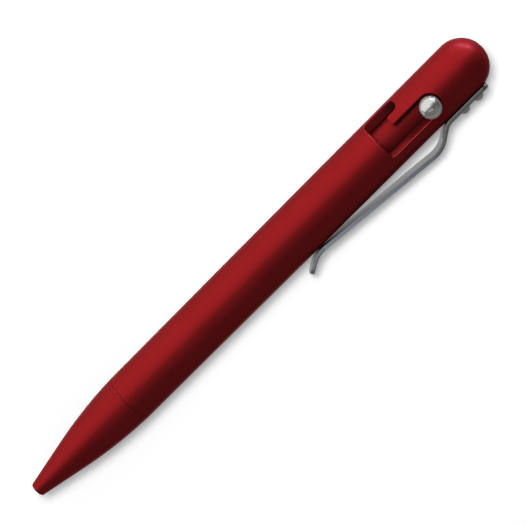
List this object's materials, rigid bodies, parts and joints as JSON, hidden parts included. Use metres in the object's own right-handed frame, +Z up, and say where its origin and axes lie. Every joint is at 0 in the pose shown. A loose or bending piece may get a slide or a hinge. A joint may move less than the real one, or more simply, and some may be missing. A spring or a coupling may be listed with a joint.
{
  "type": "bolt action pen",
  "caption": "Bolt action ballpoint pen with a slotted metal barrel, side knob, screwed nose cone and pocket clip.",
  "frame": {"origin": "middle of the barrel facet that the pen lies on, halfway along the straight stretch of the barrel", "axes": "+X along the pen's axis towards the domed tail, -Y the side that the pocket clip points to, +Z up from the surface that the pen lies on"},
  "size_m": [0.14, 0.0165, 0.0162],
  "materials": {
    "red_aluminium": "satin red anodised",
    "clip_steel": "fine satin, bent strip",
    "polished_steel": "polished",
    "refill_steel": "smooth drawn tube",
    "tip_metal": "nickel plated",
    "spring_steel": "bright wire",
    "black_plastic": "moulded"
  },
  "bodies": {
    "barrel": {"barrel": "red_aluminium", "clip_screw_front": "polished_steel", "clip_screw_rear": "polished_steel"},
    "clip": {"pocket_clip": "clip_steel"},
    "spring": {"return_spring": "spring_steel"},
    "nose": {"nose_cone": "red_aluminium"},
    "refill": {"refill_tube": "refill_steel", "refill_tip": "tip_metal", "refill_ball": "polished_steel", "refill_end_cap": "black_plastic"},
    "bolt": {"bolt": "red_aluminium", "bolt_knob": "polished_steel"}
  },
  "joints": [
    {"name": "bolt_slide", "type": "slide", "parent": "barrel", "child": "refill", "axis": [-1, 0, 0], "range_m": [0, 0.01198], "stiffness_N_per_m": 150, "springref_m": -0.01, "deforming": ["return_spring"]},
    {"name": "bolt_turn", "type": "hinge", "parent": "refill", "child": "bolt", "pos_m": [0.00873, 0, 0.0062], "axis": [1, 0, 0], "range_deg": [-8, 8]},
    {"name": "nose_advance", "type": "slide", "parent": "barrel", "child": "spring", "axis": [-1, 0, 0], "range_m": [0, 0.0076]},
    {"name": "nose_unscrew", "type": "hinge", "parent": "spring", "child": "nose", "pos_m": [-0.0843, 0, 0.0062], "axis": [-1, 0, 0], "range_deg": [0, 3600]},
    {"name": "clip_flex", "type": "hinge", "parent": "barrel", "child": "clip", "pos_m": [0.00975, -0.006, 0.00369], "axis": [0, -0.3866, 0.9222], "range_deg": [0, 3], "stiffness_Nm_per_rad": 4.2, "springref_deg": -1.15, "deforming": ["pocket_clip"]}
  ],
  "couplings": [
    {"joint": "nose_advance", "follows": "nose_unscrew", "m_per_rad": 0.00011937}
  ]
}
